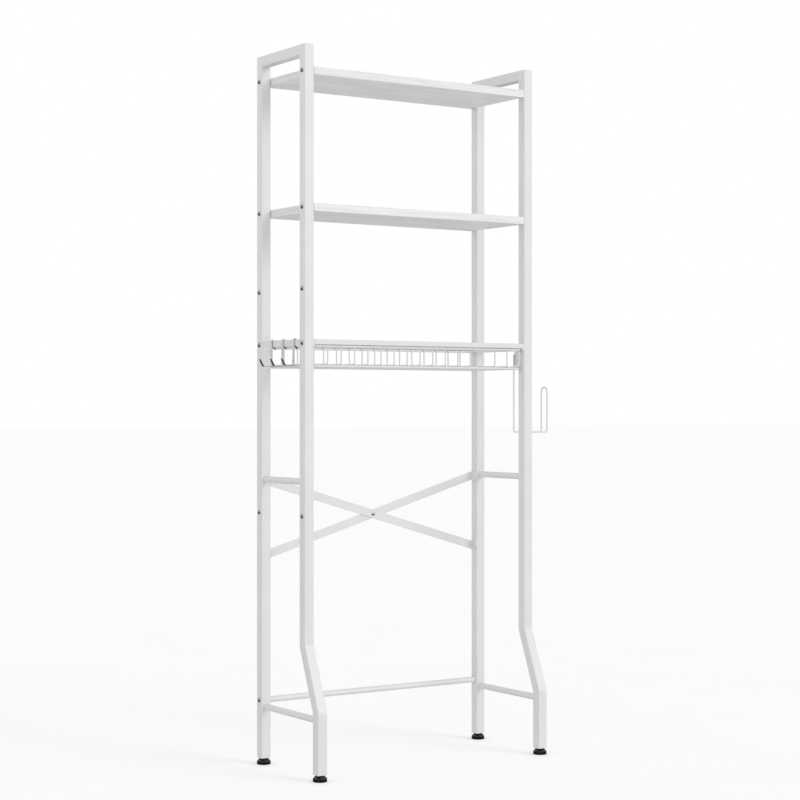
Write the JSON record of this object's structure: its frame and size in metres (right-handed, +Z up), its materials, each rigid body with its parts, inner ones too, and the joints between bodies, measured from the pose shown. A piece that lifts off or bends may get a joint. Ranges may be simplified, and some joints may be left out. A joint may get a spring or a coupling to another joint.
{
  "type": "over the toilet storage rack",
  "caption": "White steel rack that stands over a toilet, with wood shelves, a wire basket, hooks and a paper roll holder.",
  "frame": {"origin": "on the floor, in the middle of the whole object's box, hooks, holder and feet included", "axes": "+Z up, +X to the user's right, +Y towards the wall"},
  "size_m": [0.7529, 0.286, 1.65],
  "materials": {
    "powder_coat": "satin",
    "shelf_board": "satin",
    "hook_steel": "gloss",
    "fixing_steel": "satin",
    "foot_plastic": "gloss",
    "plug_plastic": "matt"
  },
  "bodies": {
    "frame": {"left_front_upper_post": "powder_coat", "left_rear_upper_post": "powder_coat", "right_front_upper_post": "powder_coat", "right_rear_upper_post": "powder_coat", "left_top_rail": "powder_coat", "right_top_rail": "powder_coat", "left_front_middle_post": "powder_coat", "left_rear_middle_post": "powder_coat", "right_front_middle_post": "powder_coat", "right_rear_middle_post": "powder_coat", "left_front_leg": "powder_coat", "left_rear_leg": "powder_coat", "right_front_leg": "powder_coat", "right_rear_leg": "powder_coat", "left_side_rail": "powder_coat", "right_side_rail": "powder_coat", "left_lower_rail": "powder_coat", "right_lower_rail": "powder_coat", "rear_crossbar": "powder_coat", "cross_brace_front": "powder_coat", "cross_brace_rear": "powder_coat", "basket_front_rail": "powder_coat", "basket_rear_rail": "powder_coat", "basket_tabs": "powder_coat", "basket_rim": "powder_coat", "basket_bottom_frame": "powder_coat", "basket_front_wires": "powder_coat", "basket_floor_wires": "powder_coat", "basket_rear_wires": "powder_coat", "left_hook_rail": "powder_coat", "right_hook_rail": "powder_coat", "upper_shelf": "shelf_board", "middle_shelf": "shelf_board", "brace_rivet": "fixing_steel", "post_sleeves": "fixing_steel", "crossbar_plugs": "fixing_steel", "shelf_inserts": "fixing_steel", "shelf_screws": "fixing_steel", "joint_screws": "fixing_steel", "basket_screws": "fixing_steel", "crossbar_screws": "fixing_steel", "leg_inserts": "plug_plastic"},
    "rear_hook": {"rear_hook": "hook_steel"},
    "middle_hook": {"middle_hook": "hook_steel"},
    "front_hook": {"front_hook": "hook_steel"},
    "paper_holder": {"holder_bracket": "powder_coat", "holder_drop_wires": "powder_coat", "holder_arm_wires": "powder_coat", "holder_upright_wires": "powder_coat"},
    "left_front_stud": {"left_front_foot_stud": "fixing_steel"},
    "left_front_pad": {"left_front_foot_pad": "foot_plastic"},
    "left_rear_stud": {"left_rear_foot_stud": "fixing_steel"},
    "left_rear_pad": {"left_rear_foot_pad": "foot_plastic"},
    "right_front_stud": {"right_front_foot_stud": "fixing_steel"},
    "right_front_pad": {"right_front_foot_pad": "foot_plastic"},
    "right_rear_stud": {"right_rear_foot_stud": "fixing_steel"},
    "right_rear_pad": {"right_rear_foot_pad": "foot_plastic"}
  },
  "joints": [
    {"name": "front_hook_slide", "type": "slide", "parent": "frame", "child": "front_hook", "axis": [0, 1, 0], "range_m": [-0.019, 0.019]},
    {"name": "middle_hook_slide", "type": "slide", "parent": "frame", "child": "middle_hook", "axis": [0, 1, 0], "range_m": [-0.019, 0.019]},
    {"name": "rear_hook_slide", "type": "slide", "parent": "frame", "child": "rear_hook", "axis": [0, 1, 0], "range_m": [-0.019, 0.04]},
    {"name": "paper_holder_slide", "type": "slide", "parent": "frame", "child": "paper_holder", "axis": [0, 1, 0], "range_m": [-0.015, 0.12]},
    {"name": "left_front_foot_height", "type": "slide", "parent": "frame", "child": "left_front_stud", "axis": [0, 0, -1], "range_m": [0, 0.01]},
    {"name": "left_front_foot_turn", "type": "hinge", "parent": "left_front_stud", "child": "left_front_pad", "pos_m": [-0.3315, -0.127, 0.01], "axis": [0, 0, -1], "range_deg": [0, 2880]},
    {"name": "left_rear_foot_height", "type": "slide", "parent": "frame", "child": "left_rear_stud", "axis": [0, 0, -1], "range_m": [0, 0.01]},
    {"name": "left_rear_foot_turn", "type": "hinge", "parent": "left_rear_stud", "child": "left_rear_pad", "pos_m": [-0.3315, 0.127, 0.01], "axis": [0, 0, -1], "range_deg": [0, 2880]},
    {"name": "right_front_foot_height", "type": "slide", "parent": "frame", "child": "right_front_stud", "axis": [0, 0, -1], "range_m": [0, 0.01]},
    {"name": "right_front_foot_turn", "type": "hinge", "parent": "right_front_stud", "child": "right_front_pad", "pos_m": [0.2845, -0.127, 0.01], "axis": [0, 0, -1], "range_deg": [0, 2880]},
    {"name": "right_rear_foot_height", "type": "slide", "parent": "frame", "child": "right_rear_stud", "axis": [0, 0, -1], "range_m": [0, 0.01]},
    {"name": "right_rear_foot_turn", "type": "hinge", "parent": "right_rear_stud", "child": "right_rear_pad", "pos_m": [0.2845, 0.127, 0.01], "axis": [0, 0, -1], "range_deg": [0, 2880]}
  ],
  "couplings": [
    {"joint": "left_front_foot_height", "follows": "left_front_foot_turn", "m_per_rad": 0.00019894},
    {"joint": "left_rear_foot_height", "follows": "left_rear_foot_turn", "m_per_rad": 0.00019894},
    {"joint": "right_front_foot_height", "follows": "right_front_foot_turn", "m_per_rad": 0.00019894},
    {"joint": "right_rear_foot_height", "follows": "right_rear_foot_turn", "m_per_rad": 0.00019894}
  ]
}
